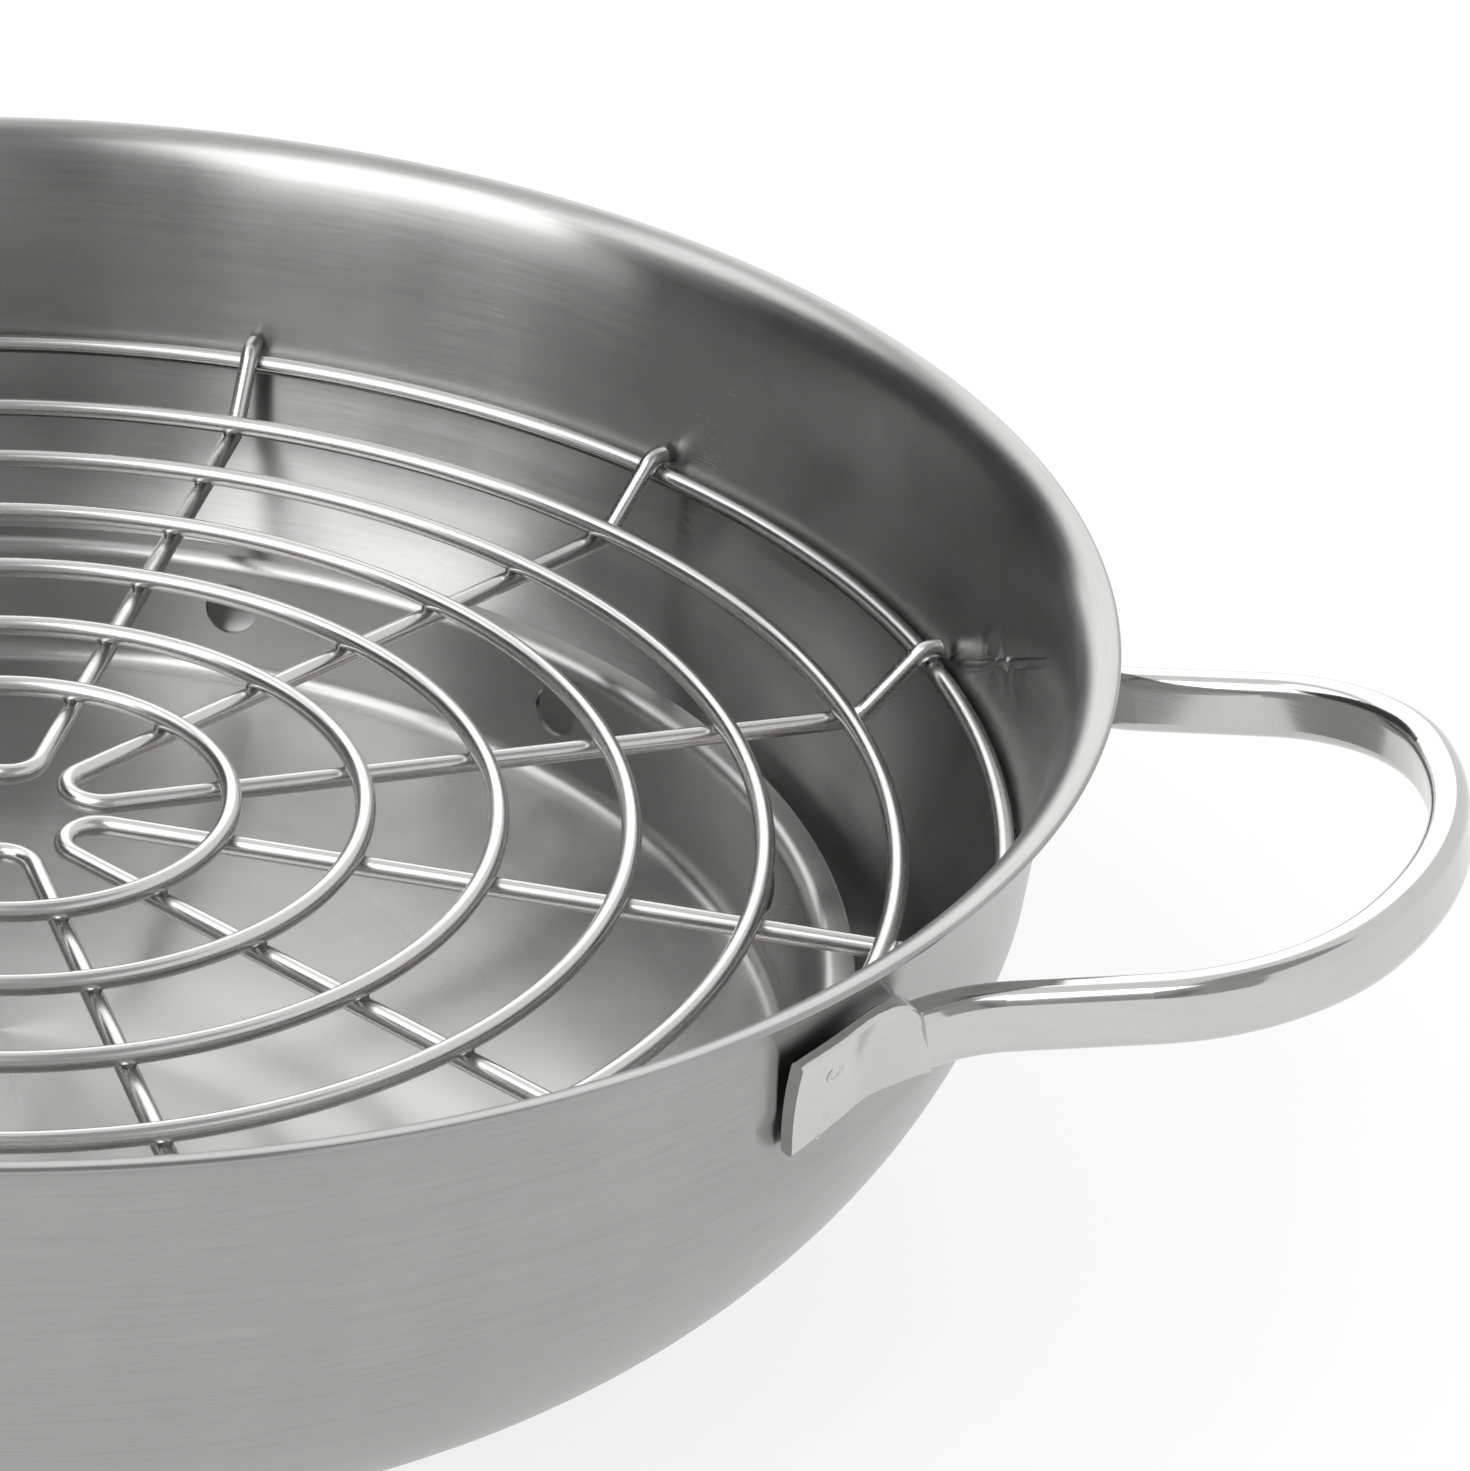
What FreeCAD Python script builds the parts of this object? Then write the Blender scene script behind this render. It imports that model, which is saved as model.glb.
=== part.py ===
import FreeCAD, Part
import math
import os
import Sketcher

# Round stovetop smoker pan: a flared steel bowl on a heat-spreading base, with two
# looped handles, a loose drip tray and a loose wire rack.
# Row frame: millimetres, +Z up, underside of the base on Z = 0, handles along +X and -X.

V = FreeCAD.Vector
ROT = FreeCAD.Rotation
doc = FreeCAD.newDocument("stovetop_smoker_pan")
FLAT_RINGS = 6

# Driving dimensions: alias, value, meaning
SIZES = [
    ("shell_sheet", 0.9, "wall thickness of the bowl"),
    ("floor_flat_radius", 82.3, "flat part of the bowl's underside"),
    ("knee_radius", 45.0, "outer curve from the floor into the side"),
    ("knee_angle", 37.7, "turn of that curve, degrees"),
    ("bowl_radius", 72.0, "outer curve of the rounded side"),
    ("bowl_angle", 39.1, "turn of that curve, degrees"),
    ("shoulder_radius", 15.0, "short curve where the side turns upright"),
    ("shoulder_angle", 8.2, "turn of that curve, degrees"),
    ("upper_wall_length", 8.35, "straight wall above the shoulder"),
    ("flare_radius", 59.5, "outer curve of the flared mouth"),
    ("flare_angle", 21.0, "turn of that curve, degrees"),
    ("lip_radius", 2.1, "underside curve of the pouring lip, which ends level"),
    ("core_thick", 5.2, "heat-spreading disc"),
    ("cap_sheet", 0.8, "cup that closes the disc"),
    ("cap_corner", 1.6, "outer corner of that cup"),
    ("join_gap", 0.05, "bond line between joined sheets"),
    ("wire", 2.8, "diameter of every rack wire"),
    ("wire_end_round", 0.5, "rounding of a wire's cut end"),
    ("weld_gap", 0.03, "between crossing wires at a spot weld"),
    ("rack_seat_gap", 0.42, "left between the largest ring and the bowl"),
    ("outer_ring_lift", 4.2, "largest ring above the flat ones"),
    ("first_ring_radius", 30.4, "smallest ring"),
    ("kink_ring_gap", 1.7, "last flat ring inside the start of a raised wire end"),
    ("hairpin_half_angle", 14.5, "half the angle between the two legs, degrees"),
    ("hairpin_apex_back", 3.9, "where the legs' lines meet, behind the centre"),
    ("hairpin_bend_radius", 4.8, "inner bend of a hairpin"),
    ("kink_radius", 3.4, "the two bends of the raised end"),
    ("kink_angle", 47.0, "slope of the raised end, degrees"),
    ("wire_overhang", 1.25, "leg's end beyond the largest ring's middle"),
    ("rack_turn_angle", -10.5, "first hairpin's direction, degrees from +X"),
    ("tray_sheet", 0.8, "sheet of the drip tray"),
    ("tray_seat_gap", 0.4, "left between the tray's corner and the bowl"),
    ("tray_seat_angle", 35.4, "how far up the knee the tray's corner rests, degrees"),
    ("tray_corner", 3.0, "inside curve from the floor into the wall"),
    ("tray_wall_angle", 84.0, "turn from the floor into the wall, degrees"),
    ("tray_wall_length", 13.9, "straight part of the tray's wall"),
    ("tray_flange_bend", 1.7, "underside curve into the flange"),
    ("tray_flange_width", 2.5, "flat part of the flange"),
    ("smoke_hole", 8.0, "diameter of a smoke hole"),
    ("smoke_hole_rise", 1.3, "smoke holes above the middle of the tray's wall"),
    ("smoke_hole_count", 12.0, "smoke holes round the tray"),
    ("tray_turn_angle", 2.6, "first smoke hole's direction, degrees from +X"),
    ("bar_width", 5.0, "handle bar seen from above"),
    ("bar_height", 8.4, "handle bar seen from the side"),
    ("bar_corner", 1.9, "rounding of the bar's edges"),
    ("handle_tilt_angle", 12.4, "rise of the loop away from the pan, degrees"),
    ("root_step_out", 5.4, "from the foot's bend out to the root, where the bar starts"),
    ("root_step_in", 7.3, "from the foot's bend towards the handle's middle"),
    ("root_step_up", -0.2, "from the foot's middle up to the root"),
    ("root_bend_radius", 19.0, "curve of the bar between the root and its leg"),
    ("root_bend_angle", 35.0, "turn of that curve, degrees"),
    ("leg_length", 17.5, "straight leg of the loop"),
    ("leg_turn_angle", 6.5, "slant of a leg towards the other one, degrees"),
    ("loop_corner", 30.1, "corner curve of the loop"),
    ("loop_tip", 55.9, "curve across the end of the loop"),
    ("foot_thick", 1.8, "thickness of a flattened foot"),
    ("foot_height", 15.0, "height of a flattened foot"),
    ("foot_corner", 0.6, "rounding of the foot's edges"),
    ("foot_gap", 0.4, "left between a foot and the wall it is welded to"),
    ("foot_lean_angle", 11.7, "how far up the flare the foot's middle sits at its bend, degrees"),
    ("foot_climb_angle", 2.0, "how much lower its free end sits, degrees down the flare"),
    ("foot_end_angle", 28.1, "free end of a foot, degrees from the handle's middle"),
    ("foot_start_angle", 23.0, "where the foot starts to bend outwards, degrees"),
    ("bend_ease", 1.0, "how softly the foot's bend starts and ends"),
]

# What follows from them: alias, formula, meaning
FITS = [
    ("pan_level", "Sizes.core_thick + Sizes.cap_sheet", "underside of the bowl's floor"),
    ("side_angle", "Sizes.knee_angle + Sizes.bowl_angle", "slope where the rounded side ends"),
    ("wall_angle", "side_angle + Sizes.shoulder_angle", "slope of the upper wall"),
    ("lip_angle", "wall_angle - Sizes.flare_angle", "turn of the lip until it is level"),
    ("knee_centre_level", "pan_level + Sizes.knee_radius", "centre of the knee curve"),
    ("bowl_centre_radius",
     "Sizes.floor_flat_radius - (Sizes.bowl_radius - Sizes.knee_radius) * sin(Sizes.knee_angle)",
     "centre of the rounded side"),
    ("bowl_centre_level",
     "knee_centre_level + (Sizes.bowl_radius - Sizes.knee_radius) * cos(Sizes.knee_angle)",
     "centre of the rounded side"),
    ("shoulder_centre_radius",
     "bowl_centre_radius + (Sizes.bowl_radius - Sizes.shoulder_radius) * sin(side_angle)",
     "centre of the shoulder curve"),
    ("shoulder_centre_level",
     "bowl_centre_level - (Sizes.bowl_radius - Sizes.shoulder_radius) * cos(side_angle)",
     "centre of the shoulder curve"),
    ("flare_centre_radius",
     "shoulder_centre_radius + (Sizes.shoulder_radius + Sizes.flare_radius) * sin(wall_angle)"
     " + Sizes.upper_wall_length * cos(wall_angle)", "centre of the flare's curve"),
    ("flare_centre_level",
     "shoulder_centre_level - (Sizes.shoulder_radius + Sizes.flare_radius) * cos(wall_angle)"
     " + Sizes.upper_wall_length * sin(wall_angle)", "centre of the flare's curve"),
    ("disc_room_radius", "Sizes.floor_flat_radius - Sizes.cap_sheet", "inside of the cup"),
    ("disc_radius", "disc_room_radius - Sizes.join_gap", "heat-spreading disc"),
    ("rack_arm", "Sizes.bowl_radius - Sizes.shell_sheet - Sizes.rack_seat_gap - Sizes.wire / 2",
     "from the side's centre to the largest ring's wire"),
    ("outer_ring_radius", "bowl_centre_radius + rack_arm * sin(side_angle)", "largest ring"),
    ("outer_ring_level", "bowl_centre_level - rack_arm * cos(side_angle)", "largest ring"),
    ("ring_level", "outer_ring_level - Sizes.outer_ring_lift", "wire centre of the flat rings"),
    ("wire_step", "Sizes.wire + Sizes.weld_gap", "between the centres of crossing wires"),
    ("leg_level", "ring_level - wire_step", "legs under the flat rings"),
    ("raised_level", "outer_ring_level + wire_step", "raised ends over the largest ring"),
    ("kink_run", "Sizes.kink_radius * sin(Sizes.kink_angle)", "length of one bend"),
    ("kink_drop", "Sizes.kink_radius * (1 - cos(Sizes.kink_angle))", "height of one bend"),
    ("slant_height", "raised_level - leg_level - 2 * kink_drop", "between the two bends"),
    ("kink_length", "2 * kink_run + slant_height / tan(Sizes.kink_angle)", "both bends and slope"),
    ("kink_start", "outer_ring_radius - kink_length", "where a leg leaves the flat"),
    ("ring_pitch",
     "(kink_start - Sizes.kink_ring_gap - Sizes.first_ring_radius) / %d" % (FLAT_RINGS - 1),
     "step from ring to ring"),
    ("leg_reach", "outer_ring_radius + Sizes.wire_overhang", "from the centre to a leg's end"),
    ("tray_bend", "Sizes.tray_corner + Sizes.tray_sheet", "outer curve of the tray's corner"),
    ("tray_arm", "Sizes.knee_radius - Sizes.shell_sheet - Sizes.tray_seat_gap - tray_bend",
     "from the knee's centre to the tray's corner curve"),
    ("tray_flat_radius", "Sizes.floor_flat_radius + tray_arm * sin(Sizes.tray_seat_angle)",
     "flat part of the tray's floor"),
    ("tray_level", "knee_centre_level - tray_arm * cos(Sizes.tray_seat_angle) - tray_bend",
     "underside of the drip tray"),
    ("smoke_hole_level",
     "tray_level + tray_bend * (1 - cos(Sizes.tray_wall_angle))"
     " + Sizes.tray_wall_length / 2 * sin(Sizes.tray_wall_angle) + Sizes.smoke_hole_rise",
     "centre of the smoke holes"),
    ("foot_arm", "Sizes.flare_radius - Sizes.foot_gap - Sizes.foot_thick / 2",
     "from the flare's centre to the middle of a foot's thickness"),
    ("foot_radius", "flare_centre_radius - foot_arm * cos(Sizes.foot_lean_angle)",
     "middle of a foot at its bend"),
    ("foot_level", "flare_centre_level + foot_arm * sin(Sizes.foot_lean_angle)",
     "middle of a foot at its bend"),
    ("root_reach",
     "foot_radius * cos(Sizes.foot_start_angle) + Sizes.root_step_out",
     "where the bar starts, from the centre"),
    ("root_half_gap", "foot_radius * sin(Sizes.foot_start_angle) - Sizes.root_step_in",
     "half the distance between the two roots"),
    ("root_level", "foot_level + Sizes.root_step_up", "bar centre at the root"),
]

book = doc.addObject("Spreadsheet::Sheet", "Sizes")
for row, (alias, value, meaning) in enumerate(SIZES, start=1):
    book.set("A%d" % row, meaning)
    book.set("B%d" % row, str(value))
    book.setAlias("B%d" % row, alias)
doc.recompute()

fits = doc.addObject("Spreadsheet::Sheet", "Fits")
for row, (alias, formula, meaning) in enumerate(FITS, start=1):
    fits.set("A%d" % row, meaning)
    fits.set("B%d" % row, "=" + formula)
    fits.setAlias("B%d" % row, alias)
    doc.recompute()

DRIVING = [entry[0] for entry in SIZES]
HAIRPINS = 6
FOOT_STATIONS = 4
BEND_STATIONS = 3
QUARTER_TURN = math.pi / 2


def size(alias):
    """Value of one named size, driving or following."""
    return float((book if alias in DRIVING else fits).get(alias))


def named(alias):
    """The same size as a formula."""
    return ("Sizes." if alias in DRIVING else "Fits.") + alias


def turned(degrees):
    """Rotation about Z."""
    return ROT(V(0, 0, 1), degrees)


def plane(body, role):
    """Origin plane of a body, found by its role."""
    return [f for f in body.Origin.OriginFeatures if f.Role == role][0]


def new_sketch(body, role, name, offset=None):
    """Sketch on one of the body's own origin planes."""
    sketch = body.newObject("Sketcher::SketchObject", name)
    sketch.AttachmentSupport = [(plane(body, role), "")]
    sketch.MapMode = "FlatFace"
    if offset is not None:
        sketch.AttachmentOffset = offset
    return sketch


def bind(sketch, constraint, formula=None):
    """Add a constraint and tie its value to the sheets."""
    index = sketch.addConstraint(constraint)
    if formula is not None:
        sketch.setExpression("Constraints[%d]" % index, formula)
    return index


def trace(sketch, level, level_formula, moves):
    """Draw a smooth run outwards from the axis: lines and arcs, each tangent to the last.

    A move is ("line", length, formula) or ("arc", radius, formula, turn, formula, side),
    side +1 turning upwards and -1 turning outwards. Returns the first and the last
    (geometry, end) pair, and the last point.
    """
    here = V(0, level, 0)
    heading = 0.0
    first = None
    last = None
    for move in moves:
        ahead = V(math.cos(heading), math.sin(heading), 0)
        if move[0] == "line":
            there = here + ahead * move[1]
            geometry = sketch.addGeometry(Part.LineSegment(here, there), False)
            entry, leave = 1, 2
        else:
            radius, turn, side = move[1], math.radians(move[3]), move[5]
            left = V(-math.sin(heading), math.cos(heading), 0)
            centre = here + left * radius * side
            begin = heading - side * QUARTER_TURN
            finish = begin + side * turn
            circle = Part.Circle(centre, V(0, 0, 1), radius)
            arc = Part.ArcOfCircle(circle, min(begin, finish), max(begin, finish))
            geometry = sketch.addGeometry(arc, False)
            entry, leave = (1, 2) if side > 0 else (2, 1)
            there = centre + V(math.cos(finish), math.sin(finish), 0) * radius
            heading += side * turn
        if last is None:
            bind(sketch, Sketcher.Constraint("PointOnObject", geometry, 1, -2))
            bind(sketch, Sketcher.Constraint("Horizontal", geometry))
            bind(sketch, Sketcher.Constraint("DistanceY", -1, 1, geometry, 1, level),
                 level_formula)
            first = (geometry, entry)
        else:
            bind(sketch, Sketcher.Constraint("Tangent", last[0], last[1], geometry, entry))
        if move[0] == "line":
            bind(sketch, Sketcher.Constraint("Distance", geometry, move[1]), move[2])
        else:
            bind(sketch, Sketcher.Constraint("Radius", geometry, radius), move[2])
            bind(sketch, Sketcher.Constraint("Angle", geometry, turn), move[4] + " * 1 deg")
        last = (geometry, leave)
        here = there
    return first, last, here, heading


def turned_sheet(label, level, sheet, moves):
    """Sheet of even thickness turned round Z, its outer edge rounded.

    level and sheet are named sizes. moves describe the underside.
    """
    body = doc.addObject("PartDesign::Body", label)
    sketch = new_sketch(body, "XZ_Plane", label + "_profile")
    thick = size(sheet)
    low, high = size(level), size(level) + thick
    under_first, under_last, under_end, heading = trace(sketch, low, named(level), moves)
    upper = []
    for move in moves:
        if move[0] == "line":
            upper.append(move)
        else:
            side = move[5]
            formula = "%s %s %s" % (move[2], "-" if side > 0 else "+", named(sheet))
            upper.append(("arc", move[1] - side * thick, formula) + tuple(move[3:]))
    top_formula = "%s + %s" % (named(level), named(sheet))
    over_first, over_last, over_end, heading = trace(sketch, high, top_formula, upper)
    axis_edge = sketch.addGeometry(Part.LineSegment(V(0, low, 0), V(0, high, 0)), False)
    bind(sketch, Sketcher.Constraint("Coincident", under_first[0], under_first[1], axis_edge, 1))
    bind(sketch, Sketcher.Constraint("Coincident", axis_edge, 2, over_first[0], over_first[1]))
    middle = (under_end + over_end) * 0.5
    begin = heading - QUARTER_TURN
    rim = sketch.addGeometry(Part.ArcOfCircle(
        Part.Circle(middle, V(0, 0, 1), thick / 2), begin, begin + math.pi), False)
    bind(sketch, Sketcher.Constraint("Tangent", under_last[0], under_last[1], rim, 1))
    bind(sketch, Sketcher.Constraint("Coincident", rim, 2, over_last[0], over_last[1]))
    turn = body.newObject("PartDesign::Revolution", label + "_turned")
    turn.Profile = sketch
    turn.ReferenceAxis = (sketch, ["V_Axis"])
    turn.Angle = 360.0
    return body


def arc_move(radius, angle, side):
    """Curved move whose radius and turn are named sizes."""
    return ("arc", size(radius), named(radius), size(angle), named(angle), side)


def line_move(length):
    """Straight move whose length is a named size."""
    return ("line", size(length), named(length))


# Pan: bowl drawn from one sheet, floor, knee, rounded side, shoulder, wall, flare, lip
turned_sheet(
    "pan_shell", "pan_level", "shell_sheet",
    [line_move("floor_flat_radius"),
     arc_move("knee_radius", "knee_angle", 1),
     arc_move("bowl_radius", "bowl_angle", 1),
     arc_move("shoulder_radius", "shoulder_angle", 1),
     line_move("upper_wall_length"),
     arc_move("flare_radius", "flare_angle", -1),
     arc_move("lip_radius", "lip_angle", -1)])

# Base: aluminium disc closed by a steel cup, both bonded under the floor
base_core = doc.addObject("Part::Cylinder", "base_core")
base_core.setExpression("Radius", "Fits.disc_radius")
base_core.setExpression("Height", "Sizes.core_thick - 2 * Sizes.join_gap")
base_core.setExpression("Placement.Base.z", "Sizes.cap_sheet + Sizes.join_gap")

cap_disc = doc.addObject("Part::Cylinder", "cap_disc")
cap_disc.setExpression("Radius", "Sizes.floor_flat_radius")
cap_disc.setExpression("Height", "Fits.pan_level - Sizes.join_gap")
cap_round = doc.addObject("Part::Fillet", "cap_round")
cap_round.Base = cap_disc
doc.recompute()
for number, edge in enumerate(cap_disc.Shape.Edges, start=1):
    if len(edge.Vertexes) == 1 and edge.CenterOfMass.z < size("cap_sheet"):
        cap_round.Edges = [(number, size("cap_corner"), size("cap_corner"))]
cap_room = doc.addObject("Part::Cylinder", "cap_room")
cap_room.setExpression("Radius", "Fits.disc_room_radius")
cap_room.setExpression("Height", "Fits.pan_level")
cap_room.setExpression("Placement.Base.z", "Sizes.cap_sheet")
base_cap = doc.addObject("Part::Cut", "base_cap")
base_cap.Base = cap_round
base_cap.Tool = cap_room

# Drip tray: shallow dish with an upright wall, a flat flange and smoke holes in the wall
drip_tray = turned_sheet(
    "drip_tray", "tray_level", "tray_sheet",
    [line_move("tray_flat_radius"),
     arc_move("tray_bend", "tray_wall_angle", 1),
     line_move("tray_wall_length"),
     arc_move("tray_flange_bend", "tray_wall_angle", -1),
     line_move("tray_flange_width")])
doc.recompute()
tray_volume = drip_tray.Shape.Volume
hole_sketch = new_sketch(drip_tray, "YZ_Plane", "smoke_hole_outline")
hole_circle = hole_sketch.addGeometry(
    Part.Circle(V(0, size("smoke_hole_level"), 0), V(0, 0, 1), size("smoke_hole") / 2), False)
bind(hole_sketch, Sketcher.Constraint("PointOnObject", hole_circle, 3, -2))
bind(hole_sketch,
     Sketcher.Constraint("DistanceY", -1, 1, hole_circle, 3, size("smoke_hole_level")),
     "Fits.smoke_hole_level")
bind(hole_sketch, Sketcher.Constraint("Diameter", hole_circle, size("smoke_hole")),
     "Sizes.smoke_hole")
smoke_hole = drip_tray.newObject("PartDesign::Pocket", "smoke_hole")
smoke_hole.Profile = hole_sketch
smoke_hole.Type = 0
smoke_hole.Reversed = True
smoke_hole.setExpression(
    "Length", "Fits.tray_flat_radius + Fits.tray_bend + Sizes.tray_wall_length")
hole_ring = drip_tray.newObject("PartDesign::PolarPattern", "smoke_hole_ring")
hole_ring.Originals = [smoke_hole]
hole_ring.Axis = (hole_sketch, ["V_Axis"])
hole_ring.Angle = 360.0
hole_ring.setExpression("Occurrences", "Sizes.smoke_hole_count")
drip_tray.Tip = hole_ring
drip_tray.Placement = FreeCAD.Placement(V(0, 0, 0), turned(size("tray_turn_angle")))
doc.recompute()
hole_area = math.pi * size("smoke_hole") ** 2 / 4
least_cut = (size("smoke_hole_count") - 1) * hole_area * size("tray_sheet")
if drip_tray.Shape.Volume > tray_volume - least_cut:
    raise RuntimeError("smoke holes are missing")

# Rack rings: flat rings at an even pitch, and a larger one set higher against the bowl
for number in range(1, FLAT_RINGS + 1):
    ring = doc.addObject("Part::Torus", "rack_ring_%d" % number)
    ring.setExpression("Radius1", "Sizes.first_ring_radius + %d * Fits.ring_pitch" % (number - 1))
    ring.setExpression("Radius2", "Sizes.wire / 2")
    ring.setExpression("Placement.Base.z", "Fits.ring_level")
outer_ring = doc.addObject("Part::Torus", "rack_ring_%d" % (FLAT_RINGS + 1))
outer_ring.setExpression("Radius1", "Fits.outer_ring_radius")
outer_ring.setExpression("Radius2", "Sizes.wire / 2")
outer_ring.setExpression("Placement.Base.z", "Fits.outer_ring_level")

# Hairpin centre line: a bend near the middle, two straight legs under the flat rings, and
# raised ends that pass over the largest ring
half = math.radians(size("hairpin_half_angle"))
apex = -size("hairpin_apex_back")
bend = size("hairpin_bend_radius")


def along_leg(reach):
    """Length along a leg, from the apex, at a distance from the rack's centre."""
    across = apex * math.sin(half)
    return math.sqrt(reach ** 2 - across ** 2) - apex * math.cos(half)


def leg_stations():
    """(distance from the apex, height) of the joints between a leg's straights and bends."""
    low, high = size("leg_level"), size("raised_level")
    run, drop, radius = size("kink_run"), size("kink_drop"), size("kink_radius")
    part_turn = math.radians(size("kink_angle")) / 2
    part_run = radius * math.sin(part_turn)
    part_drop = radius * (1 - math.cos(part_turn))
    start = along_leg(size("kink_start"))
    finish = start + size("kink_length")
    return [(bend / math.tan(half), low), (start, low), (start + part_run, low + part_drop),
            (start + run, low + drop), (finish - run, high - drop),
            (finish - part_run, high - part_drop), (finish, high),
            (along_leg(size("leg_reach")), high)]


def leg_point(side, distance, height):
    """Point on a leg: side +1 or -1, distance from the apex, height."""
    return V(apex + distance * math.cos(half), side * distance * math.sin(half), height)


def leg_edges(side):
    """Edges of one leg from the inner bend to the free end."""
    p = [leg_point(side, distance, height) for distance, height in leg_stations()]
    return [Part.makeLine(p[0], p[1]),
            Part.Arc(p[1], p[2], p[3]).toShape(),
            Part.makeLine(p[3], p[4]),
            Part.Arc(p[4], p[5], p[6]).toShape(),
            Part.makeLine(p[6], p[7])]


def hairpin_line():
    """Whole centre line of one hairpin that points along +X."""
    bend_start, low = leg_stations()[0]
    bend_middle = V(apex + bend / math.sin(half) - bend, 0, low)
    inner_bend = Part.Arc(leg_point(1, bend_start, low), bend_middle,
                          leg_point(-1, bend_start, low)).toShape()
    return Part.Wire(Part.__sortEdges__(leg_edges(1) + [inner_bend] + leg_edges(-1)))


centre_line = doc.addObject("Part::Feature", "hairpin_centre_line")
centre_line.Shape = hairpin_line()
leg_way = V(math.cos(half), math.sin(half), 0)
leg_end = leg_point(1, *leg_stations()[-1])
wire_section = doc.addObject("Part::Circle", "hairpin_wire_section")
wire_section.setExpression("Radius", "Sizes.wire / 2")
wire_section.Placement = FreeCAD.Placement(leg_end, ROT(V(0, 0, 1), leg_way))
for number in range(HAIRPINS):
    turn = size("rack_turn_angle") + 360.0 * number / HAIRPINS
    bent = doc.addObject("Part::Sweep", "bent_wire_%d" % (number + 1))
    bent.Sections = [wire_section]
    bent.Spine = (centre_line, ["Edge%d" % (n + 1) for n in range(len(centre_line.Shape.Edges))])
    bent.Solid = True
    bent.Frenet = False
    bent.Transition = 1
    bent.Placement = FreeCAD.Placement(V(0, 0, 0), turned(turn))
    doc.recompute()
    cut_ends = []
    for index, edge in enumerate(bent.Shape.Edges, start=1):
        middle = edge.BoundBox.Center
        reach = math.hypot(middle.x, middle.y)
        if len(edge.Vertexes) == 1 and reach > size("leg_reach") - size("wire"):
            cut_ends.append((index, size("wire_end_round"), size("wire_end_round")))
    hairpin = doc.addObject("Part::Fillet", "rack_hairpin_%d" % (number + 1))
    hairpin.Base = bent
    hairpin.Edges = cut_ends
doc.recompute()

# Handle: a bar bent into a loop that rises away from the pan; each end bends along the wall
# and is pressed flat into a foot that follows the flare. The press leaves sharp edges, so a
# small step stays at the root, where the bar's rounded edges begin.
tilt = math.radians(size("handle_tilt_angle"))
slant_in = math.radians(size("leg_turn_angle"))
root_slant = slant_in + math.radians(size("root_bend_angle"))
rise_x = V(math.cos(tilt), 0, math.sin(tilt))
across_y = V(0, 1, 0)
loop_normal = V(-math.sin(tilt), 0, math.cos(tilt))
root = V(size("root_reach"), size("root_half_gap"), size("root_level"))


def section_place(point, travel, up):
    """Placement with X to the outside of the loop, Y up and Z along the travel."""
    z = V(travel).normalize()
    y = (V(up) - z * V(up).dot(z)).normalize()
    x = y.cross(z)
    matrix = FreeCAD.Matrix(x.x, y.x, z.x, point.x, x.y, y.y, z.y, point.y,
                            x.z, y.z, z.z, point.z, 0, 0, 0, 1)
    return FreeCAD.Placement(matrix)


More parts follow.
